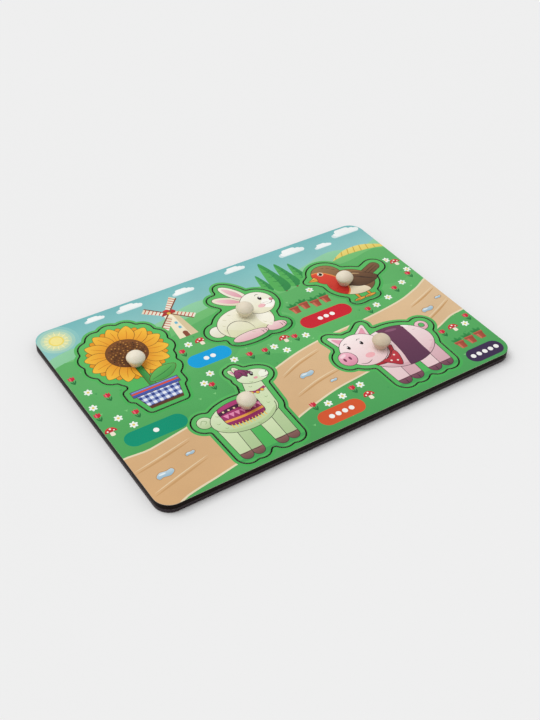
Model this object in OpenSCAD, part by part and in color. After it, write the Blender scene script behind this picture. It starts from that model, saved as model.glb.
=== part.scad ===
// Peg puzzle: a printed board with five contour-cut pieces, each lifted out by a turned wooden knob.
// The origin is the middle of the underside, +X runs along the board, +Y to its back and +Z up.

/* [Board] */
// Length of the board, left to right
board_w = 300; // [280:1:360]
// Depth of the board, front to back
board_d = 200; // [190:1:240]
// Radius of the board's four corners
corner_r = 12; // [4:0.5:20]
// Thickness of the backing board
base_t = 3.2; // [2:0.1:6]
// Chamfer along the backing board's edges
arris = 0.4; // [0.2:0.1:0.8]
// Thickness of the frame board, and of the pieces that are cut out of it
frame_t = 4; // [3:0.1:8]
// Thickness of the printed facing on the frame and on the pieces
print_t = 0.3; // [0.2:0.05:0.6]

/* [Cutting] */
// Plain margin that is left round each figure
margin = 4; // [2.5:0.5:6]
// Smallest inside radius that the cutter leaves
notch_r = 3; // [1:0.5:5]
// Gap between a piece and its cut-out, all round
fit_gap = 0.6; // [0.3:0.1:1.2]

/* [Knobs] */
// Widest diameter of a knob
knob_d = 14; // [11:0.5:18]
// Diameter of the flat foot that a knob stands on
knob_foot_d = 8.5; // [7:0.5:10]
// Height of the widest ring above the foot
ring_h = 5.8; // [5.2:0.1:7.5]
// Height of the crown above the widest ring
crown_h = 5; // [4.6:0.1:7]
// Radius of the edge between the taper from the foot and the widest ring
under_r = 2; // [1:0.1:4]
// Radius of the shoulder between the widest ring and the crown
shoulder_r = 2.5; // [1.5:0.1:4.2]

/* [Screws] */
// Diameter of a screw's shank
screw_d = 2.5; // [2:0.1:3]
// Diameter of a screw's countersunk head
head_d = 5.4; // [4.5:0.1:7]
// Length of a screw from the face of its head to its point
screw_l = 11; // [9:0.5:13]
// Depth of the head's face below the underside of the piece
head_sink = 0.3; // [0.1:0.1:0.6]
// Room round a screw in the piece and in the knob
screw_gap = 0.1; // [0.05:0.05:0.2]
// Width of the cross recess in the head
recess_w = 0.7; // [0.5:0.1:1]
// Length of the cross recess in the head
recess_l = 3; // [2:0.1:3.6]
// Depth of the cross recess in the head
recess_h = 0.9; // [0.5:0.1:1.2]

/* [Drawing] */
// Length of the board that the figures and their places are drawn for
drawn_w = 300; // [260:1:360]
// Depth of the board that the figures and their places are drawn for
drawn_d = 200; // [180:1:240]

/* [Places of the knobs] */
// Sunflower knob, from the left edge
sunflower_from_left = 52; // [48:1:56]
// Sunflower knob, from the back edge
sunflower_from_back = 68; // [64:1:72]
// Rabbit knob, to the right of the middle
rabbit_from_middle = 0; // [-8:1:8]
// Rabbit knob, from the back edge
rabbit_from_back = 60; // [54:1:64]
// Robin knob, from the right edge
robin_from_right = 60; // [54:1:66]
// Robin knob, from the back edge
robin_from_back = 67; // [58:1:71]
// Llama knob, from the left edge
llama_from_left = 96; // [90:1:102]
// Llama knob, from the front edge
llama_from_front = 53; // [51:1:57]
// Pig knob, from the right edge
pig_from_right = 84; // [78:1:92]
// Pig knob, from the front edge
pig_from_front = 55; // [50:1:59]

/* [Sunflower] */
// Number of petals
petals = 14; // [10:1:18]
// Reach of the petals from the middle of the flower
petal_reach = 32; // [28:0.5:35]
// Length of a petal
petal_l = 20; // [16:0.5:24]
// Width of a petal
petal_w = 14; // [11:0.5:17]
// Height of the flower's middle above the knob
flower_up = 14; // [10:0.5:16]
// Length of the stem between the petals and the pot
stem_h = 8; // [6:0.5:10]
// Width of the stem
stem_w = 5; // [4:0.5:7]
// Length of the leaf
leaf_l = 26; // [20:0.5:30]
// Width of the leaf
leaf_w = 12; // [8:0.5:14]
// Width of the pot's rim
rim_w = 38; // [34:0.5:44]
// Height of the pot's rim
rim_h = 6; // [4:0.5:8]
// Width of the pot under its rim
pot_w = 33; // [28:0.5:38]
// Width of the pot's foot
pot_foot_w = 25; // [20:0.5:30]
// Height of the pot under its rim
pot_h = 15; // [12:0.5:18]

/* [Rabbit] */
// Length of the rabbit's body
rabbit_body_l = 46; // [40:0.5:52]
// Height of the rabbit's body
rabbit_body_h = 36; // [32:0.5:42]
// Diameter of the rabbit's head
rabbit_head_d = 27; // [22:0.5:31]
// Length of an ear
rabbit_ear_l = 27; // [21:0.5:30]
// Width of an ear
rabbit_ear_w = 10; // [7:0.5:13]
// Diameter of the rabbit's tail
rabbit_tail_d = 13; // [10:0.5:16]
// Length of the rabbit's hind foot
rabbit_foot_l = 30; // [24:0.5:36]
// Length of the rabbit's fore paw
rabbit_paw_l = 17; // [13:0.5:21]
// Height of the rabbit's feet
rabbit_foot_h = 9; // [7:0.5:11]

/* [Robin] */
// Length of the robin's body
robin_body_l = 39; // [35:0.5:43]
// Height of the robin's body
robin_body_h = 33; // [29:0.5:37]
// Diameter of the robin's head
robin_head_d = 25; // [22:0.5:28]
// Length of the robin's beak
robin_beak_l = 6; // [4:0.5:8]
// Length of the robin's tail beyond its body
robin_tail_l = 10; // [7:0.5:13]
// Width of the robin's tail
robin_tail_w = 10; // [7:0.5:13]
// Height of the robin's legs below its body
robin_leg_h = 7; // [5:0.5:9]
// Length of a robin's foot
robin_foot_l = 10; // [8:0.5:12]

/* [Llama] */
// Length of the llama's body
llama_body_l = 50; // [44:0.5:54]
// Height of the llama's body
llama_body_h = 30; // [26:0.5:34]
// Length of a leg below the body's middle
llama_leg_l = 38; // [33:0.5:40]
// Width of a leg
llama_leg_w = 9; // [7:0.5:11]
// Rise of the neck from the body's middle to the head's middle
llama_neck_h = 30; // [26:0.5:33]
// Width of the neck
llama_neck_w = 15; // [12:0.5:18]
// Length of the llama's head
llama_head_l = 24; // [20:0.5:27]
// Height of the llama's head
llama_head_h = 14; // [12:0.5:16]
// Length of an ear
llama_ear_l = 10; // [8:0.5:12]
// Diameter of the tuft of the tail
llama_tail_d = 11; // [8:0.5:14]

/* [Pig] */
// Length of the pig's body
pig_body_l = 60; // [54:0.5:64]
// Height of the pig's body
pig_body_h = 44; // [38:0.5:48]
// Diameter of the pig's head
pig_head_d = 36; // [32:0.5:40]
// Length of the snout
pig_snout_l = 11; // [9:0.5:14]
// Height of the snout
pig_snout_h = 15; // [12:0.5:18]
// Length of an ear
pig_ear_l = 16; // [13:0.5:18]
// Width of an ear at its root
pig_ear_w = 14; // [11:0.5:16]
// Length of a leg below the body's middle
pig_leg_l = 37; // [33:0.5:40]
// Width of a leg
pig_leg_w = 11; // [9:0.5:13]
// Diameter of the ring of the tail
pig_tail_d = 11; // [9:0.5:14]

/* [Hidden] */

// Round outlines are cut into steps of about this length and turn
$fs = 1.6;
$fa = 7;
// Turn of a step along the arcs of a knob's profile
arc_turn = 8;

// Levels of the recess floor, the back of the print and the face of the puzzle
floor_z = base_t;
paper_z = floor_z + frame_t;
face_z = paper_z + print_t;

// Scale of the places on the board each way, and of the figures, which keep their proportions
place_scale = [board_w/drawn_w, board_d/drawn_d];
figure_scale = min(place_scale.x, place_scale.y);
// Places of the knobs, which are the origins of the five figures
sunflower_at = [
    place_scale.x*sunflower_from_left - board_w/2,
    board_d/2 - place_scale.y*sunflower_from_back
];
rabbit_at = [
    place_scale.x*rabbit_from_middle,
    board_d/2 - place_scale.y*rabbit_from_back
];
robin_at = [
    board_w/2 - place_scale.x*robin_from_right,
    board_d/2 - place_scale.y*robin_from_back
];
llama_at = [
    place_scale.x*llama_from_left - board_w/2,
    place_scale.y*llama_from_front - board_d/2
];
pig_at = [
    board_w/2 - place_scale.x*pig_from_right,
    place_scale.y*pig_from_front - board_d/2
];

// Middle of the arc under a knob's widest ring, and the run from it to the rim of the foot
under_at = [knob_d/2 - under_r, ring_h];
foot_run = [knob_foot_d/2, 0] - under_at;
// Turn at which the straight taper from the foot meets that arc without a corner
under_turn = atan2(foot_run.y, foot_run.x) + acos(under_r/norm(foot_run));
// Middle of the shoulder arc
shoulder_at = [knob_d/2 - shoulder_r, ring_h];
// Radius of the crown arc that runs into the shoulder without a corner
crown_r = (pow(shoulder_at.x, 2) + pow(crown_h, 2) - pow(shoulder_r, 2))/(2*(crown_h - shoulder_r));
// Middle of the crown arc, on the knob's axis
crown_at = [0, ring_h + crown_h - crown_r];
// Turn at which the crown meets the shoulder
crown_turn = atan2(ring_h - crown_at.y, shoulder_at.x);

// Level of the face of a screw's head, and the height of its cone
head_z = floor_z + head_sink;
head_h = (head_d - screw_d)/2;
// Length of the point of a screw
point_l = screw_d;

// Colours of the boards, of the bare wood and metal, and of each print
board_colour = "#2c2322";
panel_colour = "#4a3a30";
wood_colour = "#ddd0b8";
metal_colour = "#b9bcc0";
meadow_colour = "#5fb36a";
sunflower_colour = "#e8a33d";
rabbit_colour = "#efe6d2";
robin_colour = "#8a5a3c";
llama_colour = "#dfe6c4";
pig_colour = "#f0d3d3";

// A point on a circle in a plane
function round_point(middle, radius, turn) = middle + radius*[cos(turn), sin(turn)];

// Points along an arc after its start, in steps of about the same turn
function arc(middle, radius, from, to) = let (steps = max(1, ceil(abs(to - from)/arc_turn))) [
    for (i = [1:steps]) round_point(middle, radius, from + (to - from)*i/steps)
];

// An ellipse of a given length and height, turned about its middle
module oval(at, size, turn = 0) {
    longest = max(size.x, size.y);
    translate(at) rotate(turn) scale([size.x/longest, size.y/longest]) circle(d = longest);
}

// A limb with round ends that tapers from one point to another
module limb(from, to, r1, r2) {
    run = norm(to - from);
    // Turn at which the straight sides leave the round ends
    side = acos((r1 - r2)/run);
    translate(from) rotate(atan2(to.y - from.y, to.x - from.x)) {
        circle(r1);
        translate([run, 0]) circle(r2);
        polygon([
            r1*[cos(side), sin(side)],
            [run, 0] + r2*[cos(side), sin(side)],
            [run, 0] + r2*[cos(side), -sin(side)],
            r1*[cos(side), -sin(side)]
        ]);
    }
}

// Sunflower in a pot: a ring of petals, a stem with one leaf, and a pot with a rim
module sunflower_figure() {
    rim_top = flower_up - petal_reach - stem_h;
    rim_bottom = rim_top - rim_h;
    leaf_turn = 18;
    translate([0, flower_up]) {
        circle(petal_reach - petal_l/2);
        for (i = [0:petals - 1])
            rotate(90 + 360*i/petals) oval([petal_reach - petal_l/2, 0], [petal_l, petal_w]);
    }
    translate([-stem_w/2, rim_top]) square([stem_w, stem_h + petal_reach]);
    translate([0, rim_top + stem_h/2]) rotate(leaf_turn) oval([leaf_l/2, 0], [leaf_l, leaf_w]);
    translate([-rim_w/2, rim_bottom]) square([rim_w, rim_h]);
    polygon([
        [-pot_w/2, rim_bottom], [pot_w/2, rim_bottom],
        [pot_foot_w/2, rim_bottom - pot_h], [-pot_foot_w/2, rim_bottom - pot_h]
    ]);
}

// Rabbit that sits facing right: body, head, laid-back ears, tail, hind foot and fore paw
module rabbit_figure() {
    body = [-4, -8];
    // How far the head, the ears and the tail run into what they grow from
    overlap = 5;
    // How far the feet reach below the body
    foot_drop = 2;
    ear_turns = [118, 146];
    head = body + [rabbit_body_l/2 - overlap/2, rabbit_body_h/2 - overlap/2];
    ear_reach = rabbit_head_d/2 + rabbit_ear_l/2 - overlap;
    foot_y = body.y - rabbit_body_h/2 - foot_drop + rabbit_foot_h/2;
    oval(body, [rabbit_body_l, rabbit_body_h]);
    translate(head) {
        circle(d = rabbit_head_d);
        for (turn = ear_turns)
            rotate(turn) oval([ear_reach, 0], [rabbit_ear_l, rabbit_ear_w]);
    }
    translate(body - [rabbit_body_l/2 + rabbit_tail_d/2 - overlap, 0]) circle(d = rabbit_tail_d);
    oval([body.x - overlap, foot_y], [rabbit_foot_l, rabbit_foot_h]);
    oval([head.x - overlap/2, foot_y], [rabbit_paw_l, rabbit_foot_h]);
}

// Robin that stands facing left: body, head with a beak, raised tail and two legs
module robin_figure() {
    body = [6, -1];
    body_turn = -18;
    // How far the head's middle lies in from the breast, and above the back
    head_in = 8;
    head_up = 1;
    beak_drop = 1;
    tail_rise = 8;
    // Places of the legs along the body, and how they thin from thigh to ankle
    leg_places = [-6, 4];
    thigh_r = 3;
    ankle_r = 1.5;
    head = body + [head_in - robin_body_l/2, robin_body_h/2 + head_up];
    tail_root = body + [robin_body_l/2 - robin_tail_w, 0];
    ankle_y = body.y - robin_body_h/2 - robin_leg_h + ankle_r;
    oval(body, [robin_body_l, robin_body_h], body_turn);
    translate(head) {
        circle(d = robin_head_d);
        polygon([
            [-robin_head_d/2 - robin_beak_l, -beak_drop],
            [-robin_head_d/4, robin_head_d/4],
            [-robin_head_d/4, -robin_head_d/4]
        ]);
    }
    limb(tail_root, tail_root + [robin_tail_w + robin_tail_l, tail_rise], robin_tail_w/2, robin_tail_w/2);
    for (place = leg_places) {
        limb(body + [place, 0], [body.x + place, ankle_y], thigh_r, ankle_r);
        oval([body.x + place - 1, ankle_y], [robin_foot_l, 2*ankle_r]);
    }
}

// Llama that stands facing right: body, neck, head with two ears, four legs and a tail
module llama_figure() {
    body = [-6, -6];
    overlap = 6;
    // How much wider the neck is at its root, and narrower at the head
    neck_flare = 2;
    neck_taper = 1;
    head_turn = -8;
    ear_turns = [98, 116];
    ear_sink = 3;
    // How far the pairs of legs stand in from the ends of the body, and swell at the hip
    hip_in = 2;
    hip_swell = 1;
    tail_rise = 6;
    shoulder = body + [llama_body_l/2 - llama_neck_w/2, 0];
    head = [shoulder.x + overlap, body.y + llama_neck_h];
    oval(body, [llama_body_l, llama_body_h]);
    limb(shoulder, head, llama_neck_w/2 + neck_flare, llama_neck_w/2 - neck_taper);
    oval(head + [overlap/2, 0], [llama_head_l, llama_head_h], head_turn);
    translate(head - [overlap/2, 0])
        for (turn = ear_turns)
            rotate(turn) oval([(llama_head_h + llama_ear_l)/2 - ear_sink, 0], [llama_ear_l, llama_ear_l/2]);
    for (end = [-1, 1], side = [-1, 1]) {
        hip = body + [end*(llama_body_l/2 - llama_leg_w - hip_in) + side*llama_leg_w/2, 0];
        limb(hip, hip - [0, llama_leg_l - llama_leg_w/2], llama_leg_w/2 + hip_swell, llama_leg_w/2);
    }
    translate(body + [(overlap - llama_body_l - llama_tail_d)/2, tail_rise]) circle(d = llama_tail_d);
}

// Pig that stands facing left: body, head with snout and ears, four legs and a curled tail
module pig_figure() {
    body = [12, -6];
    overlap = 5;
    // Rise of the head and of the tail above the body's middle
    end_rise = 10;
    snout_drop = 3;
    ear_turns = [56, 124];
    ear_tip_r = 1.5;
    // How far the pairs of legs stand in from the ends of the body, and swell at the hip
    hip_in = 5;
    hip_swell = 1;
    head = body + [overlap - pig_body_l/2, end_rise];
    ear_root = pig_head_d/2 - overlap;
    oval(body, [pig_body_l, pig_body_h]);
    translate(head) {
        circle(d = pig_head_d);
        oval([-pig_head_d/2, -snout_drop], [pig_snout_l, pig_snout_h]);
        for (turn = ear_turns) rotate(turn)
            limb([ear_root, 0], [ear_root + pig_ear_l - ear_tip_r, 0], pig_ear_w/2, ear_tip_r);
    }
    for (end = [-1, 1], side = [-1, 1]) {
        hip = body + [end*(pig_body_l/2 - pig_leg_w - hip_in) + side*pig_leg_w/2, 0];
        limb(hip, hip - [0, pig_leg_l - pig_leg_w/2], pig_leg_w/2 + hip_swell, pig_leg_w/2);
    }
    translate(body + [(pig_body_l + pig_tail_d)/2 - overlap, end_rise]) circle(d = pig_tail_d);
}

// Outline of the board
module board_outline() {
    offset(r = corner_r) square([board_w - 2*corner_r, board_d - 2*corner_r], center = true);
}

// Outline of a piece: its figure with the margin, and no inside corner sharper than the cutter
module piece_outline() {
    offset(r = -notch_r) offset(r = margin + notch_r) scale(figure_scale) children();
}

// A cut-out in the frame, wider than its piece by the gap all round
module cut_out(at) {
    translate(at) offset(delta = fit_gap) piece_outline() children();
}

// What is left of the board's outline round the five pieces
module frame_outline() {
    difference() {
        board_outline();
        cut_out(sunflower_at) sunflower_figure();
        cut_out(rabbit_at) rabbit_figure();
        cut_out(robin_at) robin_figure();
        cut_out(llama_at) llama_figure();
        cut_out(pig_at) pig_figure();
    }
}

// A screw's solid of revolution, with its head down, grown by some room all round
module screw_form(room = 0) {
    shank_r = screw_d/2 + room;
    rotate_extrude() polygon([
        [0, -room], [head_d/2 + room, -room], [head_d/2 + room, 0], [shank_r, head_h],
        [shank_r, screw_l - point_l + room], [0, screw_l + room]
    ]);
}

// The hole that a screw needs, open at the underside of its piece
module screw_hole(at) {
    translate([at.x, at.y, head_z]) screw_form(screw_gap);
    translate([at.x, at.y, floor_z - 1]) cylinder(h = head_sink + 1, d = head_d + 2*screw_gap);
}

// A piece of the frame board with the hole for its screw
module piece_panel(at) {
    color(panel_colour) difference() {
        translate([at.x, at.y, floor_z]) linear_extrude(frame_t) piece_outline() children();
        screw_hole(at);
    }
}

// The printed facing of a piece
module piece_print(at, colour) {
    color(colour) difference() {
        translate([at.x, at.y, paper_z]) linear_extrude(print_t) piece_outline() children();
        screw_hole(at);
    }
}

// A turned knob: a flat foot, a taper out to the widest ring, a round shoulder and a domed crown
module knob(at) {
    color(wood_colour) difference() {
        translate([at.x, at.y, face_z]) rotate_extrude() polygon(concat(
            [[0, 0], [knob_foot_d/2, 0], round_point(under_at, under_r, under_turn)],
            arc(under_at, under_r, under_turn, 0),
            arc(shoulder_at, shoulder_r, 0, crown_turn),
            arc(crown_at, crown_r, crown_turn, 90)
        ));
        screw_hole(at);
    }
}

// A countersunk wood screw with a cross recess in its head
module screw(at) {
    color(metal_colour) translate([at.x, at.y, head_z]) difference() {
        screw_form();
        for (turn = [0, 90]) rotate(turn)
            translate([-recess_l/2, -recess_w/2, -1]) cube([recess_l, recess_w, recess_h + 1]);
    }
}

// Backing board with eased edges
module base_board() {
    color(board_colour) hull() {
        linear_extrude(base_t) offset(delta = -arris) board_outline();
        translate([0, 0, arris]) linear_extrude(base_t - 2*arris) board_outline();
    }
}

// Frame board with the five cut-outs
module frame_board() {
    color(board_colour) translate([0, 0, floor_z]) linear_extrude(frame_t) frame_outline();
}

// Printed facing of the frame
module frame_print() {
    color(meadow_colour) translate([0, 0, paper_z]) linear_extrude(print_t) frame_outline();
}

module sunflower_panel() { piece_panel(sunflower_at) sunflower_figure(); }
module sunflower_print() { piece_print(sunflower_at, sunflower_colour) sunflower_figure(); }
module sunflower_knob() { knob(sunflower_at); }
module sunflower_screw() { screw(sunflower_at); }

module rabbit_panel() { piece_panel(rabbit_at) rabbit_figure(); }
module rabbit_print() { piece_print(rabbit_at, rabbit_colour) rabbit_figure(); }
module rabbit_knob() { knob(rabbit_at); }
module rabbit_screw() { screw(rabbit_at); }

module robin_panel() { piece_panel(robin_at) robin_figure(); }
module robin_print() { piece_print(robin_at, robin_colour) robin_figure(); }
module robin_knob() { knob(robin_at); }
module robin_screw() { screw(robin_at); }

module llama_panel() { piece_panel(llama_at) llama_figure(); }
module llama_print() { piece_print(llama_at, llama_colour) llama_figure(); }
module llama_knob() { knob(llama_at); }
module llama_screw() { screw(llama_at); }

module pig_panel() { piece_panel(pig_at) pig_figure(); }
module pig_print() { piece_print(pig_at, pig_colour) pig_figure(); }
module pig_knob() { knob(pig_at); }
module pig_screw() { screw(pig_at); }

base_board();
frame_board();
frame_print();
sunflower_panel();
sunflower_print();
sunflower_knob();
sunflower_screw();
rabbit_panel();
rabbit_print();
rabbit_knob();
rabbit_screw();
robin_panel();
robin_print();
robin_knob();
robin_screw();
llama_panel();
llama_print();
llama_knob();
llama_screw();
pig_panel();
pig_print();
pig_knob();
pig_screw();
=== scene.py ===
import math

import bmesh
import bpy
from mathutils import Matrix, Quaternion, Vector
from mathutils.geometry import delaunay_2d_cdt


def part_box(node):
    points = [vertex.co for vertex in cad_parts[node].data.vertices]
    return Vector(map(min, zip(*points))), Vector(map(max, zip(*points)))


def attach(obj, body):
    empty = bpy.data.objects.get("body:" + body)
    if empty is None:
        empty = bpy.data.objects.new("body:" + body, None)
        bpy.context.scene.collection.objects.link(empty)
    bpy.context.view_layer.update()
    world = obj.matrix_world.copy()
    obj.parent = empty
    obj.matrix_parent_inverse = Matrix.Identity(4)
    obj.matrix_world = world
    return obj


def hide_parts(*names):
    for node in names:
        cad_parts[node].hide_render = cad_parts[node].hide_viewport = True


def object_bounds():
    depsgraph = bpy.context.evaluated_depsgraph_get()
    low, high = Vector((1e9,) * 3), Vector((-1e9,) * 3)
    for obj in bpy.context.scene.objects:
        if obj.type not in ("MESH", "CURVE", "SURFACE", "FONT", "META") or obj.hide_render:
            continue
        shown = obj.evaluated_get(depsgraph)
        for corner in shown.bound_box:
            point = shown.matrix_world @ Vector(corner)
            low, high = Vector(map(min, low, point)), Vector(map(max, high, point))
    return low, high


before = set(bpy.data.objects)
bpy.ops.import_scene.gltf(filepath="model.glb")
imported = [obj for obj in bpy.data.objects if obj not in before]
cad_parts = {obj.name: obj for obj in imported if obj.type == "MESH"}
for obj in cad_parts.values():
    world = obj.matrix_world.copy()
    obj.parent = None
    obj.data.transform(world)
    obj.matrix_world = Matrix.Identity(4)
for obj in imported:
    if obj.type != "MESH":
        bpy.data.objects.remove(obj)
cad_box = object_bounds()

# Boards
# Two sheets of pressed hardboard glued face to face, the upper one cut right through in five places.
# The faces are bare brown fibre. The lower sheet's edge is stained dark and the upper one's cuts are burnt.


def tint(code):
    """Linear light of a colour written as six hex digits."""
    parts = [int(code[i:i + 2], 16) / 255 for i in (1, 3, 5)]
    return tuple(c / 12.92 if c <= 0.04045 else ((c + 0.055) / 1.055) ** 2.4 for c in parts)


def wire(tree, node, sockets):
    """Links each named socket of a node, or gives it a value."""
    for name, value in sockets.items():
        if isinstance(value, bpy.types.NodeSocket):
            tree.links.new(value, node.inputs[name])
        else:
            node.inputs[name].default_value = value


def add(tree, kind, sockets=None, **settings):
    """A new node with its settings and its sockets wired."""
    node = tree.nodes.new(kind)
    for name, value in settings.items():
        setattr(node, name, value)
    wire(tree, node, sockets or {})
    return node


def noise(tree, where, scale, detail=3.0, roughness=0.5):
    """Cloudy variation from 0 to 1, with so many lumps to the metre."""
    sockets = {"Vector": where, "Scale": scale, "Detail": detail, "Roughness": roughness}
    return add(tree, "ShaderNodeTexNoise", sockets).outputs["Fac"]


def ranged(tree, value, low, high, start=0.0, end=1.0):
    """A value between start and end carried to the range from low to high."""
    sockets = {"Value": value, "From Min": start, "From Max": end, "To Min": low, "To Max": high}
    return add(tree, "ShaderNodeMapRange", sockets).outputs["Result"]


def mixed(tree, share, first, second):
    """Two colours mixed by a share, each one a socket or a hex code."""
    first, second = ((*tint(c), 1) if isinstance(c, str) else c for c in (first, second))
    return add(tree, "ShaderNodeMix", {0: share, 6: first, 7: second}, data_type="RGBA").outputs[2]


def new_material(name):
    """A material with its node tree and its main shader."""
    material = bpy.data.materials.new(name)
    material.use_nodes = True
    return material, material.node_tree, material.node_tree.nodes["Principled BSDF"]


def hardboard(name, pale_fibre, dark_fibre, dark_edge, pale_edge, worn_edge, gloss):
    """Pressed fibre with dark edges, where the surface's own normal tells a face from an edge."""
    material, tree, shader = new_material(name)
    where = add(tree, "ShaderNodeTexCoord")
    place = where.outputs["Object"]
    lie = add(tree, "ShaderNodeSeparateXYZ", {"Vector": where.outputs["Normal"]})
    upright = add(tree, "ShaderNodeMath", {0: lie.outputs["Z"]}, operation="ABSOLUTE").outputs[0]
    edge = ranged(tree, upright, 1, 0, 0.80, 0.90)
    fibre = noise(tree, place, 900, 8, 0.7)
    strand_way = add(tree, "ShaderNodeMapping", {
        "Vector": place, "Rotation": (0, 0, 0.5), "Scale": (0.15, 1, 1)})
    strand = noise(tree, strand_way.outputs[0], 1400, 3, 0.6)
    face = mixed(tree, ranged(tree, fibre, 0, 1, 0.35, 0.65), dark_fibre, pale_fibre)
    face = mixed(tree, ranged(tree, noise(tree, place, 22, 4, 0.6), 0, 0.45, 0.40, 0.70), face, dark_fibre)
    face = mixed(tree, ranged(tree, strand, 0, 0.55, 0.62, 0.74), face, dark_fibre)
    face = mixed(tree, ranged(tree, strand, 0.40, 0, 0.26, 0.38), face, pale_fibre)
    streak_way = add(tree, "ShaderNodeMapping", {"Vector": place, "Scale": (1, 1, 0.12)})
    streak = noise(tree, streak_way.outputs[0], 1500, 4, 0.65)
    scuff = noise(tree, place, 420, 6, 0.75)
    side = mixed(tree, ranged(tree, streak, 0, 0.8, 0.35, 0.75), dark_edge, pale_edge)
    side = mixed(tree, ranged(tree, scuff, 0, 0.5, 0.64, 0.80), side, worn_edge)
    # The sloped arris at the seam gets a paler colour in patches: partly rubbed stain, partly a painted glint
    # where the chamfer catches the light.
    arris = ranged(tree, upright, 0, 1, 0.30, 0.55)
    glint_and_wear = ranged(tree, scuff, 0.1, 0.9, 0.45, 0.65)
    rubbed_and_glint = add(tree, "ShaderNodeMath", {0: arris, 1: glint_and_wear}, operation="MULTIPLY")
    side = mixed(tree, rubbed_and_glint.outputs[0], side, "#6f6466")
    face_rough, edge_rough = ranged(tree, fibre, 0.70, 0.85), ranged(tree, scuff, 0.40, 0.58)
    roughness = add(tree, "ShaderNodeMix", {0: edge, 2: face_rough, 3: edge_rough})
    relief = add(tree, "ShaderNodeMix", {0: edge, 2: fibre, 3: streak}).outputs[0]
    pitted = add(tree, "ShaderNodeBump", {"Height": relief, "Strength": 0.35, "Distance": 0.00012})
    wire(tree, shader, {
        "Base Color": mixed(tree, edge, face, side), "Roughness": roughness.outputs[0],
        "Specular IOR Level": gloss, "Normal": pitted.outputs[0]})
    return material


def dress(node, finish):
    """Gives a CAD node a new material."""
    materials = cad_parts[node].data.materials
    materials.clear()
    materials.append(finish)


base_finish = hardboard("stained_hardboard", "#b5905f", "#8a683f", "#21181c", "#382c32", "#473b41", 0.20)
frame_finish = hardboard("burnt_hardboard", "#b5905f", "#8a683f", "#0e0807", "#241813", "#3a2a20", 0.05)
dress("base_board", base_finish)
dress("frame_board", frame_finish)

# Picture on the frame
# A paper print under a satin film, glued to the upper board and cut through with it.
# It shows a meadow with a sandy lane under a pale sky. The cut scorched and pressed down each hole's rim.

mm = 0.001
rim_w, rim_drop, weld = 0.34, 0.08, 0.003
halo_w = 2.4


def moved(points, x=0, y=0, turn=0, size=1):
    """Points sized and turned about the origin and then moved."""
    c, s = size * math.cos(math.radians(turn)), size * math.sin(math.radians(turn))
    return [(x + c * px - s * py, y + s * px + c * py) for px, py in points]


def arc(x, y, radius, start, end):
    """Points along an arc, less than a millimetre apart."""
    steps = max(8, round(1.5 * radius * math.radians(abs(end - start))))
    turns = [math.radians(start + (end - start) * i / steps) for i in range(steps + 1)]
    return [(x + radius * math.cos(t), y + radius * math.sin(t)) for t in turns]


def oval(x, y, width, height, turn=0):
    """An ellipse turned about its middle."""
    steps = max(14, round(2.4 * (width + height)))
    turns = [math.tau * i / steps for i in range(steps)]
    return moved([(width / 2 * math.cos(t), height / 2 * math.sin(t)) for t in turns], x, y, turn)


def limb(x1, y1, x2, y2, r1, r2):
    """A limb with round ends that tapers from one point to another."""
    run = math.hypot(x2 - x1, y2 - y1)
    heading = math.degrees(math.atan2(y2 - y1, x2 - x1))
    side = math.degrees(math.acos((r1 - r2) / run))
    near_end = arc(x1, y1, r1, heading + side, heading + 360 - side)
    return near_end + arc(x2, y2, r2, heading - side, heading + side)


def smooth(points, closed=True, steps=5):
    """A smooth curve through a few points."""
    count = len(points)
    curve = []
    for i in range(count if closed else count - 1):
        near = [i + k if closed else min(max(i + k, 0), count - 1) for k in (-1, 0, 1, 2)]
        a, b, c, d = (Vector(points[k % count]) for k in near)
        for t in (j / steps for j in range(steps)):
            bend = 2 * a - 5 * b + 4 * c - d + t * (3 * (b - c) + d - a)
            curve.append(tuple(b + t / 2 * (c - a + t * bend)))
    return curve if closed else curve + [points[-1]]


def line(points, width, tip=0.4):
    """A drawn line through a few points, thinner towards its ends."""
    path = smooth(points, closed=False)
    last = len(path) - 1
    left, right = [], []
    for i, (x, y) in enumerate(path):
        (ax, ay), (bx, by) = path[max(i - 1, 0)], path[min(i + 1, last)]
        half = width / 2 * (1 - (1 - tip) * (2 * i / last - 1) ** 2) / math.hypot(bx - ax, by - ay)
        left.append((x - (by - ay) * half, y + (bx - ax) * half))
        right.append((x + (by - ay) * half, y - (bx - ax) * half))
    return left + right[::-1]


def box(x, y, width, height):
    """A rectangle from its lower left corner."""
    return [(x, y), (x + width, y), (x + width, y + height), (x, y + height)]


def anticlockwise(points):
    """The same outline in anticlockwise order from its leftmost point."""
    area = sum(a[0] * b[1] - b[0] * a[1] for a, b in zip(points, points[1:] + points[:1]))
    points = points if area > 0 else points[::-1]
    first = points.index(min(points))
    return points[first:] + points[:first]


def grow(points, by):
    """The outline set out by a distance all round, or in where the distance is below zero."""
    points = [Vector(p) for p in anticlockwise(points)]
    grown = []
    for before, here, after in zip(points[-1:] + points[:-1], points, points[1:] + points[:1]):
        out = [Vector((d.y, -d.x)).normalized() for d in (here - before, after - here)]
        grown.append(tuple(here + by * (out[0] + out[1]) / max(1 + out[0].dot(out[1]), 0.5)))
    return grown


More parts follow.
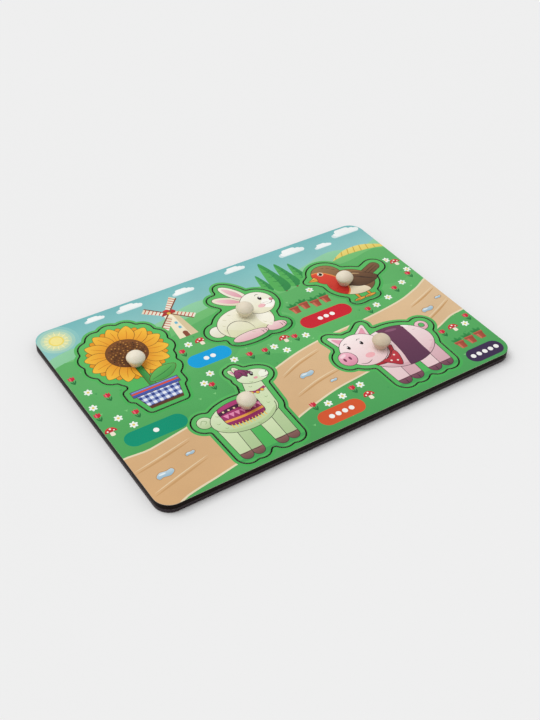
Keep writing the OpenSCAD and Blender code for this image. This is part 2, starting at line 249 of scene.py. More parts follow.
class Picture:
    """Shapes of flat ink, each laid over the ones before, in millimetres from one place on the board."""

    def __init__(self, x=0, y=0, pen="#3a302c"):
        self.place = (x, y)
        self.pen = pen
        self.shapes = []

    def ink(self, outline, colour, fade=None, turn=90, within=()):
        """Lays a shape that may fade to a second colour along a turn and be kept within other shapes."""
        points = anticlockwise(moved(outline, *self.place))
        way = (math.cos(math.radians(turn)), math.sin(math.radians(turn)))
        reach = [x * way[0] + y * way[1] for x, y in points]
        colours = (tint(colour), tint(fade or colour))
        self.shapes.append((points, within, colours, way, min(reach), max(reach)))
        return len(self.shapes) - 1

    def drawn(self, outline, colour, fade=None, turn=90, within=(), width=0.45):
        """Lays a shape with a dark line round it."""
        self.ink(grow(outline, width), self.pen, within=within)
        return self.ink(outline, colour, fade, turn, within)

    def flecks(self, places, bend, width, colour, within=()):
        """Lays a short bent stroke at each place."""
        for x, y in places:
            stroke = [(x, y)] + [(x + across, y + up) for across, up in bend]
            self.ink(line(stroke, width), colour, within=within)

    def colour_at(self, key, x, y):
        """Linear colour of one shape of ink at a point."""
        _, _, (low, high), way, start, end = self.shapes[key]
        share = min(max((x * way[0] + y * way[1] - start) / (end - start), 0), 1)
        return [a + (b - a) * share for a, b in zip(low, high)]


def top_outlines(node):
    """Outlines of the upper face of a CAD node in millimetres, the largest first."""
    shape = bmesh.new()
    shape.from_mesh(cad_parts[node].data)
    bmesh.ops.remove_doubles(shape, verts=shape.verts, dist=1e-6)
    top = max(v.co.z for v in shape.verts) - 1e-6
    after = {}
    for face in shape.faces:
        if all(v.co.z > top for v in face.verts):
            for corner in face.loops:
                if any(v.co.z < top for f in corner.edge.link_faces for v in f.verts):
                    after[corner.vert] = corner.link_loop_next.vert
    outlines = []
    while after:
        start = next(iter(after))
        outline = [start]
        while after[outline[-1]] is not start:
            outline.append(after.pop(outline[-1]))
        after.pop(outline[-1])
        outlines.append(anticlockwise([(v.co.x / mm, v.co.y / mm) for v in outline]))
    shape.free()
    size = {id(o): max(x for x, _ in o) - min(x for x, _ in o) for o in outlines}
    return sorted(outlines, key=lambda o: (-size[id(o)], o[0]))


def put(name, data):
    """A new object in the scene."""
    thing = bpy.data.objects.new(name, data)
    bpy.context.scene.collection.objects.link(thing)
    return thing


def printed_sheet(part, body, picture, scorched_outside=True):
    """A thin closed sheet in the place of a part's CAD print, coloured by the picture's inks."""
    name, node = part + "_picture", part + "_print"
    low, high = (corner.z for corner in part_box(node))
    sheet, *holes = top_outlines(node)
    outlines = [sheet, *holes, grow(sheet, -rim_w), *(grow(hole, rim_w) for hole in holes)]
    first_ink = len(outlines)
    outlines += [points for points, *_ in picture.shapes]
    places, faces = [], []
    for outline in outlines:
        faces.append(range(len(places), len(places) + len(outline)))
        places += [Vector(p) for p in anticlockwise(outline)]
    flat, _, triangles, _, _, owners = delaunay_2d_cdt(places, [], faces, 1, weld, True)
    top_faces, top_colours = [], []
    scorched, paper = tint("#1f2417"), tint("#cfc8b8")
    for corners, owner in zip(triangles, owners):
        if 0 not in owner or any(hole + 1 in owner for hole in range(len(holes))):
            continue
        on_rim = any(key + len(holes) + 2 in owner for key in range(len(holes)))
        on_rim |= scorched_outside and len(holes) + 1 not in owner
        inks = {key - first_ink for key in owner}
        shown = max(
            key for key in inks
            if key >= 0 and (not picture.shapes[key][1] or inks.intersection(picture.shapes[key][1]))
        )
        top_faces.append(tuple(corners))
        top_colours += [scorched if on_rim else picture.colour_at(shown, *flat[c]) for c in corners]
    sides = {}
    for a, b, c in top_faces:
        for edge in ((a, b), (b, c), (c, a)):
            sides[edge] = edge[::-1] not in sides
            if edge[::-1] in sides:
                sides[edge[::-1]] = False
    rim = [edge for edge, open_side in sides.items() if open_side]
    rim_points = {point for edge in rim for point in edge}
    used = sorted({c for corners in top_faces for c in corners})
    upper = {c: i for i, c in enumerate(used)}
    lower = {c: i + len(used) for i, c in enumerate(used)}
    drop = {c: rim_drop * mm if c in rim_points else 0 for c in used}
    points = [(flat[c].x * mm, flat[c].y * mm, high - drop[c]) for c in used]
    points += [(flat[c].x * mm, flat[c].y * mm, low) for c in used]
    polygons = [tuple(upper[c] for c in corners) for corners in top_faces]
    polygons += [tuple(lower[c] for c in corners[::-1]) for corners in top_faces]
    polygons += [(upper[b], upper[a], lower[a], lower[b]) for a, b in rim]
    mesh = bpy.data.meshes.new(name)
    mesh.from_pydata(points, [], polygons)
    colours = top_colours + [paper] * (len(mesh.loops) - len(top_colours))
    layer = mesh.attributes.new("ink", "FLOAT_COLOR", "CORNER")
    layer.data.foreach_set("color", [part for colour in colours for part in (*colour, 1)])
    mesh.materials.append(print_finish)
    piece = put(name, mesh)
    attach(piece, body)
    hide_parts(node)


print_finish, tree, shader = new_material("satin_print")
where = add(tree, "ShaderNodeTexCoord").outputs["Object"]
ink_layer = add(tree, "ShaderNodeAttribute", attribute_name="ink").outputs["Color"]
cloudy = noise(tree, where, 28, 3)
paper_grain = noise(tree, where, 1700, 3, 0.6)
screen = add(tree, "ShaderNodeTexVoronoi", {"Vector": where, "Scale": 2400, "Randomness": 0.0})
screen_dot = ranged(tree, screen.outputs["Distance"], 1.0, 0.965, 0.25, 0.50)
pale = ranged(tree, cloudy, 0.96, 1.04, 0.3, 0.7)
shade = add(tree, "ShaderNodeMath", {0: pale, 1: screen_dot}, operation="MULTIPLY").outputs[0]
grain_shade = ranged(tree, paper_grain, 0.97, 1.03, 0.3, 0.7)
shade = add(tree, "ShaderNodeMath", {0: shade, 1: grain_shade}, operation="MULTIPLY").outputs[0]
colour = add(tree, "ShaderNodeVectorMath", {0: ink_layer, 1: shade}, operation="MULTIPLY").outputs[0]
peel = add(tree, "ShaderNodeBump", {"Height": paper_grain, "Strength": 0.12, "Distance": 0.00008})
wire(tree, shader, {
    "Base Color": colour, "Roughness": ranged(tree, cloudy, 0.36, 0.50, 0.3, 0.7),
    "Specular IOR Level": 0.12, "Normal": peel.outputs[0]})

meadow = Picture()
meadow.ink(box(-152, 30, 304, 72), "#a6d3cc", "#74b8ba")

sun_x, sun_y, ray_count = -136, 85, 14
for radius, glow in ((17, "#8cc5c1"), (14, "#a3cfc0"), (11.5, "#bed9ba"), (9, "#d8e1ae")):
    meadow.ink(oval(sun_x, sun_y, 2 * radius, 2 * radius), glow)
for i in range(ray_count):
    ray = moved([(6.4, -0.7), (11, 0), (6.4, 0.7)], sun_x, sun_y, 360 * i / ray_count)
    meadow.ink(ray, "#f3ecb0")
meadow.ink(oval(sun_x, sun_y, 11.4, 11.4), "#efd96b")
meadow.ink(oval(sun_x, sun_y, 9, 9), "#f3e592")


def cloud(x, y, size):
    """A flat cloud of stacked rounded bars."""
    for left, up, right, radius, white in (
        (-11, 0, 11, 2.6, "#d5e6e6"), (-8, 0.8, 12, 2.4, "#eef3f2"), (-5, 4, 4, 3.0, "#f4f7f5"),
        (2, 2.6, 9, 2.2, "#f4f7f5"), (-9, 1.4, -3, 2.0, "#f4f7f5"),
    ):
        bar = limb(left, up, right, up, radius, radius)
        meadow.ink(moved(bar, x, y, 0, size), white)


clouds = ((-101, 93, 0.6), (-72, 92, 0.8), (-26, 89, 0.7), (24, 93, 0.7), (78, 90, 0.9), (106, 84, 0.6),
          (134, 91, 1.0))
for x, y, size in clouds:
    cloud(x, y, size)

far_hills = [(-156, 40), (-156, 63), (-128, 71), (-95, 64), (-58, 66), (-30, 73), (5, 70), (40, 63),
             (72, 68), (104, 75), (132, 67), (156, 70), (156, 40)]
meadow.ink(smooth(far_hills), "#7fc48c", "#93cfa6")
wheat_field = smooth([(98, 58), (108, 67), (122, 71), (138, 69), (152, 58), (122, 54)])
wheat = meadow.ink(wheat_field, "#d9bf55", "#ecd97a")
for k in range(7):
    furrow = line([(100 + 7 * k, 54), (104 + 6.6 * k, 63), (110 + 6 * k, 73)], 0.9, 1)
    meadow.ink(furrow, "#c9a944", within=(wheat,))
middle_hills = [(-156, 30), (-156, 54), (-122, 60), (-84, 53), (-46, 58), (0, 63), (44, 54), (80, 58),
                (118, 64), (156, 55), (156, 30)]
meadow.ink(smooth(middle_hills), "#63b56b", "#74bf74")


def poplar(x, y, height):
    """A slim tree with a lit side."""
    width = 0.30 * height
    meadow.ink(box(x - 0.9, y, 1.8, 0.25 * height), "#7d4a35")
    crown = smooth([(-0.5, 0.2), (-0.42, 0.55), (0, 1), (0.42, 0.55), (0.5, 0.2), (0, 0.1)])
    crown = [(x + width * a, y + height * b) for a, b in crown]
    tree_crown = meadow.ink(crown, "#2f8748", "#3f9a50")
    lit_side = oval(x - 0.3 * width, y + 0.5 * height, 0.7 * width, 0.95 * height)
    meadow.ink(lit_side, "#55ae58", within=(tree_crown,))
    for k in range(4):
        low = y + height * (0.25 + 0.15 * k)
        bough = line([(x - 0.2 * width, low + 1.6), (x, low), (x + 0.22 * width, low + 1.6)], 0.6)
        meadow.ink(bough, "#2a7a42", within=(tree_crown,))


poplars = ((34, 51, 27), (66, 49, 30), (56, 46, 38), (45, 44, 47))
for x, y, height in poplars:
    poplar(x, y, height)

meadow_top = [(-156, -106), (-156, 46), (-112, 51), (-70, 45), (-40, 50), (0, 55), (40, 48), (76, 51),
              (112, 56), (156, 45), (156, -106)]
grass = meadow.ink(smooth(meadow_top), "#50a55a", "#60b166")
for bank, dark, light in (
    ([(-160, -8), (-140, 12), (-112, 2), (-80, -16), (-40, -2), (0, 22), (30, 24), (20, -30), (-160, -40)],
     "#55ab5e", "#68b96b"),
    ([(30, 20), (60, 26), (100, 20), (130, 12), (160, 16), (160, -30), (90, -20), (40, -8)],
     "#52a75b", "#66b76a"),
    ([(-160, 22), (-120, 14), (-60, 4), (-20, -4), (0, -20), (-60, -40), (-160, -50)], "#4ba157", "#5cb063"),
    ([(-20, -62), (30, -58), (90, -54), (160, -32), (160, -110), (-30, -110)], "#469a54", "#57ac5f"),
):
    meadow.ink(smooth(bank), dark, light, within=(grass,))

blade_tufts, step_x, step_y = 110, 0.618034, 0.754878
for k in range(blade_tufts):
    x = -147 + 294 * (step_x * k % 1)
    y = -97 + 140 * (step_y * k % 1)
    green = ("#7cc77b", "#459b55")[k % 2]
    for lean in (-0.9, 0.0, 0.9):
        meadow.ink(line([(x, y), (x + 0.5 * lean, y + 1.1), (x + 1.3 * lean, y + 2.0)], 0.5, 0.2), green)

mill_x, mill_y, mill_h = -49, 40, 30
tower = meadow.ink(
    moved([(-8, 0), (8, 0), (5, mill_h), (-5, mill_h)], mill_x, mill_y), "#f1e4c2", "#f5ecd2")
meadow.ink(moved([(2, 0), (8, 0), (5, mill_h), (1.4, mill_h)], mill_x, mill_y), "#dcc8a0", within=(tower,))
meadow.ink(moved(arc(0, 5, 2, 0, 180) + [(-2, 0), (2, 0)], mill_x - 0.6, mill_y), "#8a4a35")
for up in (11, 17):
    meadow.ink(moved(arc(0, 1.8, 1.2, 0, 180) + [(-1.2, 0), (1.2, 0)], mill_x - 0.8, mill_y + up), "#6fb6cf")
meadow.ink(moved(arc(0, 0, 6.4, 0, 180), mill_x, mill_y + mill_h), "#a52a2c", "#cf3a38")
hub = (mill_x, mill_y + mill_h + 1.2)
for i in range(4):
    spin = 45 + 90 * i
    meadow.ink(moved(box(0, -0.6, 20, 1.2), *hub, spin), "#7d4a35")
    sail = meadow.ink(moved([(4.2, 0.5), (20, 0.5), (20, 5.8), (4.2, 4.2)], *hub, spin), "#f3efdf", "#e2d6b8")
    for k in range(5):
        meadow.ink(moved(box(6 + 2.9 * k, 0.5, 0.8, 5.6), *hub, spin), "#c9553f", within=(sail,))
meadow.ink(oval(*hub, 3, 3), "#e2b84a")

lane = [(-160, -54), (-130, -50), (-100, -45), (-60, -38), (-20, -27), (10, -19), (40, -15), (80, -13),
        (114, -9), (135, -3), (160, 4), (160, -36), (135, -43), (114, -50), (80, -57), (40, -62), (10, -65),
        (-20, -72), (-60, -84), (-100, -92), (-130, -97), (-160, -106)]
lane = smooth(lane, steps=6)
meadow.ink(grow(lane, 1.5), "#e6d6b6")
sand = meadow.ink(lane, "#d3a877", "#dcbd95", turn=60)
for rut in (
    [(-150, -65), (-128, -61), (-104, -56)], [(-148, -88), (-126, -82), (-102, -76)],
    [(-16, -37), (2, -30), (24, -25)], [(-18, -59), (4, -53), (26, -50)],
    [(116, -20), (132, -15), (148, -9)], [(114, -41), (132, -34), (148, -27)],
):
    meadow.ink(line(rut, 1.6, 0.1), "#c79b69", within=(sand,))
    meadow.ink(line([(x + 1, y + 2.6) for x, y in rut], 0.9, 0.1), "#e5cda8", within=(sand,))

puddles = ((-133, -74, 13), (-110, -66, 7), (1, -42, 12), (14, -57, 6), (126, -28, 11), (143, -20, 6))
pool_edge = smooth([(-0.5, 0), (-0.25, 0.2), (0.12, 0.16), (0.42, 0.2), (0.5, 0), (0.2, -0.2),
                    (-0.2, -0.15), (-0.42, -0.2)])
for x, y, width in puddles:
    pool = moved(pool_edge, x, y, 0, width)
    meadow.ink(grow(pool, 0.6), "#bd905c")
    water = meadow.ink(pool, "#8fb2c6", "#c3d6df")
    meadow.ink(oval(x - 0.15 * width, y + 0.06 * width, 0.4 * width, 0.1 * width), "#e4eef1", within=(water,))


def clay_pot(x, y):
    """A small clay pot with a seedling in it."""
    for turn in (50, 90, 130):
        leaf = smooth([(0, 0), (3.4, -1.5), (7, 0), (3.4, 1.5)])
        meadow.ink(moved(leaf, x, y + 6.4, turn), "#1d6a38", "#37934a", turn)
    pot = meadow.ink(moved([(-2.6, 0), (2.6, 0), (3.6, 6.6), (-3.6, 6.6)], x, y), "#96412f", "#b95a43", 180)
    meadow.ink(moved(box(-2.6, 0.4, 1.5, 6), x, y), "#cb755b", within=(pot,))
    meadow.ink(moved(box(-4.2, 6, 8.4, 2.3), x, y), "#8f3f30", "#c4644b")


for i in range(4):
    clay_pot(37 + 9.4 * i, 20 + 1.2 * math.sin(2 * i))
for i in range(3):
    clay_pot(120 + 10 * i, -79 + 0.8 * i)


def tulip(x, y, size):
    """A red flower on a leafy stem."""
    for lean in (-1, 1):
        blade = smooth([(0, 0), (1.2 * lean, 1.4), (1.5 * lean, 3), (0.4 * lean, 1.6)])
        meadow.ink(moved(blade, x, y, 0, size), "#1f7039")
    meadow.ink(moved(box(-0.25, 0, 0.5, 3.6), x, y, 0, size), "#1f7039")
    bloom = [(0, 2.9), (1.7, 3.9), (1.6, 6.4), (0.75, 5.6), (0, 6.7), (-0.75, 5.6), (-1.6, 6.4), (-1.7, 3.9)]
    head = meadow.ink(moved(bloom, x, y, 0, size), "#b81a2e", "#d8304a")
    meadow.ink(moved(oval(-0.7, 4.6, 0.9, 2.4), x, y, 0, size), "#ea6a78", within=(head,))


def star_flower(x, y, size):
    """A white flower with six petals."""
    for turn in range(0, 360, 60):
        ray = moved(oval(1.25, 0, 2.2, 1.35), 0, 0, turn)
        meadow.ink(moved(ray, x, y, 12, size), "#e2efe6", "#fbfcf8")
    meadow.ink(moved(oval(0, 0, 1.5, 1.5), x, y, 0, size), "#e6cf6a")


def toadstool(x, y, size):
    """A red cap with white spots."""
    meadow.ink(moved(smooth([(-0.9, 0), (-0.6, 2.4), (0.6, 2.4), (0.9, 0)]), x, y, 0, size), "#efe6cf")
    cap = meadow.ink(moved(arc(0, 2, 2.7, 0, 180), x, y, 0, size), "#b02530", "#d83a3a")
    for dx, dy, d in ((-1.3, 2.8, 0.8), (0.2, 3.8, 0.9), (1.4, 2.7, 0.7)):
        meadow.ink(moved(oval(dx, dy, d, d), x, y, 0, size), "#f6f1e4", within=(cap,))


for x, y in ((-145, 34), (-131, 6), (-146, -9), (-122, -19), (-63, 20), (-63, -22), (-22, -8), (-10, -10),
             (18, -8), (86, -10), (121, 1), (143, 11), (-14, -77), (20, -77), (146, -56), (117, -62)):
    tulip(x, y, 1.4)
for x, y in ((-141, 22), (-145, 6), (-135, -12), (-129, -23), (-55, 31), (-67, -12), (-58, -5), (-35, -1),
             (-2, -4), (26, -5), (4, -12), (61, 40), (95, -3), (109, 0), (131, 10), (146, 22), (139, 41),
             (-4, -75), (9, -74), (27, -71), (139, -57)):
    star_flower(x, y, 1.4)
for x, y in ((-145, -25), (-45, 26), (10, -4), (144, 31), (26, -87), (128, -60)):
    toadstool(x, y, 1.7)

cut_outs = top_outlines("frame_print")[1:]
for cut_out in cut_outs:
    meadow.ink(grow(cut_out, halo_w), "#46ab54", "#5cb962")

label_r, dot_d, dot_pitch = 7.2, 4.2, 5.6
for left, low, width, count, label in (
    (-142, -42.5, 47, 1, "#00906f"), (-66, 4, 35, 2, "#0a9fdc"), (30, -1, 46, 3, "#c9202f"),
    (-20, -94, 38, 4, "#d4562e"), (113, -97, 33, 5, "#3a2a4c"),
):
    middle_y = low + label_r
    meadow.ink(limb(left + label_r, middle_y, left + width - label_r, middle_y, label_r, label_r), label)
    for i in range(count):
        dot_x = left + width / 2 + dot_pitch * (i - (count - 1) / 2)
        meadow.ink(oval(dot_x, middle_y, dot_d, dot_d), "#f4f4f0")

printed_sheet("frame", "board", meadow, scorched_outside=False)

# Backs of the pieces
# Each piece is cut from the same hardboard as the frame, and drops into the hole it came from.
# Its edge is burnt as black as the frame's, and its underside is bare fibre.

piece_finish = hardboard("piece_hardboard", "#b08a5b", "#87643d", "#100908", "#281b15", "#402f24", 0.05)
pieces = ("sunflower", "rabbit", "robin", "llama", "pig")
for piece in pieces:
    dress(piece + "_panel", piece_finish)


def knob_place(piece):
    """Where a piece's knob stands on the board, in millimetres."""
    low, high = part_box(piece + "_knob")
    return ((low.x + high.x) / 2 / mm, (low.y + high.y) / 2 / mm)


def piece_ground(piece, pen):
    """A new picture for a piece, with its green ground laid."""
    picture = Picture(*knob_place(piece), pen)
    picture.ink(box(-60, -60, 120, 120), "#4bb058", "#62be66")
    return picture


# Sunflower piece
# A print on the first piece: an amber flower with a brown seed head, in a checked blue pot.
# The figure follows the cut outline with a green border all round.

flower_up, petal_count = 14, 14
seed_count, seed_reach, seed_turn = 90, 14.2, 2.39996
sunflower = piece_ground("sunflower", "#5c3a1a")
petal = smooth([(8, 0), (16, -5), (24, -5.6), (31.5, 0), (24, 5.6), (16, 5)])
for ring, scale, inner, outer in ((0.5, 0.95, "#c96f17", "#e79b25"), (0.0, 1.0, "#df861c", "#f5bf3f")):
    for i in range(petal_count):
        turn = 90 + 360 * (i + ring) / petal_count
        sunflower.drawn(moved(petal, 0, flower_up, turn, scale), inner, outer, turn, width=0.35)
        vein = moved(line([(15, 0.2), (21, -0.3), (27, 0)], 0.5), 0, flower_up, turn, scale)
        sunflower.ink(vein, "#c9781c")
sunflower.drawn(box(-2.3, -27, 4.6, 24), "#35853f", "#4a9f4d", 0)
leaf = smooth([(0, 0), (7, -4.8), (17, -5.4), (25.5, 0), (17, 5.4), (7, 4.8)])
sunflower.drawn(moved(leaf, 0, -22, 18), "#3f9548", "#63b65c", 108)
sunflower.ink(moved(line([(2, 0), (12, -0.6), (22, 0)], 0.6), 0, -22, 18), "#2c7038")
sunflower.drawn(oval(0, flower_up, 31, 31), "#63391a", "#7d4c24")
sunflower.ink(oval(0, flower_up, 25, 25), "#55300f", "#6b3f1b")
for k in range(seed_count):
    reach = seed_reach * math.sqrt((k + 0.5) / seed_count)
    angle = seed_turn * k
    seed = oval(reach * math.cos(angle), flower_up + reach * math.sin(angle), 1.25, 1.25)
    sunflower.ink(seed, ("#b98340", "#8f5d2a", "#3a2210")[k % 3])
pot = sunflower.drawn([(-12.5, -47), (12.5, -47), (16.5, -32), (-16.5, -32)], "#e7ebf2")
check, check_left, check_low = 2.5, -16.25, -46.2
for i in range(7):
    sunflower.ink(box(check_left + 2 * check * i, -47, check, 15), "#8d9cc9", within=(pot,))
for j in range(3):
    row = check_low + 2 * check * j
    sunflower.ink(box(-17, row, 34, check), "#8d9cc9", within=(pot,))
    for i in range(7):
        sunflower.ink(box(check_left + 2 * check * i, row, check, check), "#2f3f85", within=(pot,))
sunflower.ink([(-12.5, -47), (12.5, -47), (13.2, -44.4), (-13.2, -44.4)], "#5a3527", within=(pot,))
sunflower.drawn(box(-18.6, -32, 37.2, 6), "#3d50a0", "#566bb8")
sunflower.ink(box(-18.6, -29.4, 37.2, 1.6), "#d8502e")
sunflower.ink(box(-17.8, -27.2, 35.6, 0.7), "#8fa0d6")
printed_sheet("sunflower", "sunflower_piece", sunflower)

# Rabbit piece
# A print on the second piece: a cream rabbit that sits and looks to the right.
# Its ears, nose and feet are pink.

rabbit = piece_ground("rabbit", "#43352f")
rabbit.ink(oval(-2, -27, 56, 5), "#43a055")
rabbit.drawn(oval(-28.5, -8, 13, 13), "#dedcc0", "#f6f3e6")
for turn, low, high in ((146, "#dcd8b8", "#efead2"), (118, "#eae5cb", "#f7f3e4")):
    rabbit.drawn(moved(oval(22, 0, 27, 10), 16.5, 7.5, turn), low, high)
    inner_ear = smooth([(13, 0), (20, -2.6), (28, -2.2), (33, 0), (28, 2.2), (20, 2.6)])
    rabbit.ink(moved(inner_ear, 16.5, 7.5, turn), "#dd98a5", "#f3cdd0", turn)
body = rabbit.drawn(oval(-4, -8, 46, 36), "#dcdcb4", "#f5f1e0")
belly = smooth([(-24, -8), (-10, -16), (8, -17), (19, -10), (12, -27), (-16, -27)])
rabbit.ink(belly, "#d5d6aa", "#e2e1bf", within=(body,))
rabbit.drawn(oval(14, -23.5, 17, 9), "#e3b4b8", "#f2d3d2")
rabbit.ink(oval(12, -12, 12, 20, 8), "#f2eed9", "#f7f4e6", within=(body,))
rabbit.drawn(oval(-9, -23.5, 30, 9), "#e3b4b8", "#f2d3d2")
for x in (0.5, 3.2):
    rabbit.ink(line([(x, -22), (x + 1, -24), (x + 0.6, -26)], 0.5), rabbit.pen)
for x in (17.5, 20):
    rabbit.ink(line([(x, -22), (x + 0.8, -24), (x + 0.4, -26)], 0.5), rabbit.pen)
rabbit.ink(line([(-23.5, -17), (-20, -7), (-11, -3.5), (-3, -9), (-1.5, -18)], 0.55, 0.2), rabbit.pen)
rabbit.drawn(oval(16.5, 7.5, 27, 27), "#e6e2c4", "#f8f5e8")
rabbit.ink(smooth([(23, 9), (29, 6), (28.6, 1), (23, -2.5), (18, 1), (19, 6)]), "#fbf9f0")
rabbit.ink(oval(17.5, 2.6, 6.4, 4.4), "#f0b9bd")
rabbit.ink(oval(21, 11.4, 3.2, 4.6, -8), "#2b211f")
rabbit.ink(oval(21.7, 12.7, 1.1, 1.4), "#ffffff")
rabbit.ink(line([(18.8, 15.6), (20.8, 16.8), (22.8, 16.2)], 0.5), rabbit.pen)
rabbit.drawn(smooth([(27.4, 7.6), (29.4, 7.2), (29.2, 5.2), (27.2, 5.4)]), "#db8494", width=0.3)
rabbit.ink(line([(28, 5), (26.6, 2.8), (23.8, 2.4)], 0.5), rabbit.pen)
for dy in (0.5, -1.3):
    rabbit.ink(line([(24.6, 4 + dy), (21, 4.4 + 1.6 * dy), (18, 4 + 2.6 * dy)], 0.3), "#9d8d78")
fur = ((-18, 3), (-12, 6.5), (-22, -3), (-6, -20), (8, -14), (5, -19), (11, -18))
rabbit.flecks(fur, ((0.9, -1.5), (2.2, -1.9)), 0.4, "#b9b389")
printed_sheet("rabbit", "rabbit_piece", rabbit)

# Robin piece
# A print on the third piece: a brown robin that faces left.
# It has a red face and breast, an orange bill and orange legs.

robin = piece_ground("robin", "#33241c")
robin.ink(oval(5, -25, 34, 4), "#43a055")
for x in (0, 10):
    robin.drawn(limb(x, -8, x, -22.4, 1.3, 1.0), "#d98a2e", "#efb24e")
    robin.drawn(oval(x - 1, -23, 10, 2.4), "#d98a2e", "#efb24e")
    robin.ink(line([(x - 4.6, -22.6), (x - 3, -23.2), (x - 0.6, -22.8)], 0.4), robin.pen)
tail = robin.drawn(limb(15.5, -1, 35.5, 7, 4.6, 4.4), "#5f432e", "#7d5a3d")
for dy in (-1.6, 1.2):
    robin.ink(line([(20, 0.6 + dy), (28, 4 + dy), (37, 7.4 + dy)], 0.6), "#46301f", within=(tail,))
chest = robin.drawn(oval(6, -1, 39, 33, -18), "#6f4f35", "#957049")
head = robin.drawn(oval(-5.5, 16.5, 25, 25), "#7d5a3d", "#9c774f")
nape = smooth([(-15, 8), (-6, 12), (5, 10), (12, 2), (4, -6), (-12, -2)])
robin.ink(nape, "#8a6644", "#96714a", within=(chest,))
robin.ink(oval(0, -13, 30, 16, -12), "#d9c7a6", "#f0e3c8", within=(chest,))
bib = smooth([(-22, 20), (-12, 22), (-5, 17), (0, 8), (1, -2), (-3, -11), (-12, -14), (-22, -4), (-20, 6)])
robin.ink(grow(bib, 1.2), "#e58a45", within=(chest, head))
robin.ink(bib, "#b92a26", "#dc4a34", within=(chest, head))
wing = smooth([(2, 6), (10, 10), (20, 6), (30, -4), (24, -9), (12, -10), (4, -5)])
robin.drawn(wing, "#4f3725", "#76543a")
for k in range(3):
    quill = [(9 + 3.4 * k, 5 - 2.6 * k), (15 + 3 * k, 2.6 - 3 * k), (22 + 2 * k, -3.6 - 1.6 * k)]
    robin.ink(line(quill, 0.55), robin.pen)
robin.ink(line([(7.6, 7.4), (13, 7.8), (18.6, 4.6)], 1.1), "#c9a678")
beak = robin.drawn([(-23.6, 15.4), (-16.6, 12.6), (-15.4, 15.6), (-16.8, 18.4)], "#df8c2a", "#f2b950")
robin.ink(line([(-23, 15.4), (-19, 15.8), (-15.8, 15.4)], 0.45), robin.pen, within=(beak,))
robin.ink(oval(-9.6, 19.6, 5.2, 5.2), "#e9d3b4", within=(head,))
robin.ink(oval(-9.8, 19.6, 3.6, 3.8), "#1f1714")
robin.ink(oval(-10.6, 20.6, 1.2, 1.2), "#ffffff")
crest, breast = ((-1, 24), (2, 20.5), (4, 16), (-5, 26)), ((-9, -2), (-6, -7), (-12, 3), (-4, 2))
robin.flecks(crest, ((1.6, -0.4), (2.6, -1.6)), 0.45, "#5d422d", within=(head,))
robin.flecks(breast, ((1, -1.2), (2.2, -0.8)), 0.45, "#99211f", within=(chest,))
printed_sheet("robin", "robin_piece", robin)

# Llama piece
# A print on the fourth piece: a pale llama that looks to the right.
# It wears a magenta saddle cloth with a fringe, and has brown hooves.

llama = piece_ground("llama", "#35332d")
llama.ink(oval(-6, -43.5, 56, 5), "#43a055")
llama.drawn(oval(-33.5, 0, 11, 11), "#b3c996", "#dde8c4")
llama.ink(line([(-37, -0.6), (-34.4, 2.6), (-31.8, 0.6), (-33.8, -1.4)], 0.55), "#8ea873")
for x, low, high in ((-15.5, "#a9c38f", "#bfd3a3"), (12.5, "#a9c38f", "#bfd3a3"),
                     (-24.5, "#c2d6a5", "#d9e5bd"), (3.5, "#c2d6a5", "#d9e5bd")):
    leg = llama.drawn(limb(x, -10, x, -39.6, 5.4, 4.3), low, high)
    llama.ink(box(x - 6, -45, 12, 7.4), "#6b4643", "#8a615b", within=(leg,))
    llama.ink(line([(x - 5.5, -37.4), (x, -38.4), (x + 5.5, -37.4)], 0.5), llama.pen, within=(leg,))
for turn in (116, 98):
    llama.drawn(moved(oval(9.5, 0, 11, 5), 14.5, 24, turn), "#cfdfb2", "#e3edcb")
    llama.ink(moved(oval(10, 0, 7, 2.2), 14.5, 24, turn), "#e2a3b5")
neck = llama.drawn(limb(11.5, -6, 17.5, 24, 9.2, 6.3), "#c8dbac", "#dfe9c6")
back = llama.drawn(oval(-6, -6, 50, 30), "#b9d09b", "#e0eac8")
shoulder = smooth([(4, 4), (9, 8), (19.5, 8), (20, -4), (12, -14), (2, -10)])
llama.ink(shoulder, "#ccdeb0", "#d5e3ba", within=(back, neck))
belly = smooth([(-28, -12), (-14, -17), (4, -17), (18, -10), (10, -24), (-16, -24)])
llama.ink(belly, "#a9c38c", "#bdd2a0", within=(back,))
muzzle = llama.drawn(oval(20.5, 24, 24, 14, -8), "#d3e2b7", "#e9f0d6")
llama.ink(oval(29.5, 21.8, 9, 9, -8), "#eef3de", "#f4f7e8", within=(muzzle,))
tuft = [(9.6, 27), (11, 33.4), (15, 34.6), (19.6, 31.4), (22.4, 27.2), (18.6, 28.2), (17, 25.6), (14.6, 28)]
llama.drawn(smooth(tuft), "#6b2f52", "#9a4470")
for x in (13.4, 16.6):
    llama.ink(line([(x, 33), (x + 1.6, 30.6), (x + 1.2, 28)], 0.5), llama.pen)
for k in range(3):
    fold = [(5.6 + 1.4 * k, 19 - 6.4 * k), (4.8 + 1.0 * k, 16 - 6.4 * k), (6.6 + 0.8 * k, 13.6 - 6.4 * k)]
    llama.ink(line(fold, 0.55), llama.pen)
cloth_edge = [(-20, 6), (-12, 9.5), (0, 9.6), (9, 7), (9.5, -3), (8, -11), (-6, -13), (-19, -11), (-21, -2)]
cloth = llama.drawn(smooth(cloth_edge, steps=4), "#8e2a5c", "#b43d77", within=(back,))
llama.ink(line([(-23, 1.4), (-6, 3.4), (11, 1.4)], 3.4, 1), "#47203a", within=(cloth,))
llama.ink(line([(-23, -6.4), (-6, -7.6), (11, -6.2)], 2.2, 1), "#e7a24a", within=(cloth,))
for k in range(7):
    x = -19.5 + 4.4 * k
    llama.ink([(x, -0.7), (x + 2.2, -4.9), (x + 4.4, -0.7)], "#e58fb4", within=(cloth,))
    llama.ink(oval(x + 2.2, 2.6, 1.7, 1.7), "#f1d9a6", within=(cloth,))
fringe_count = 11
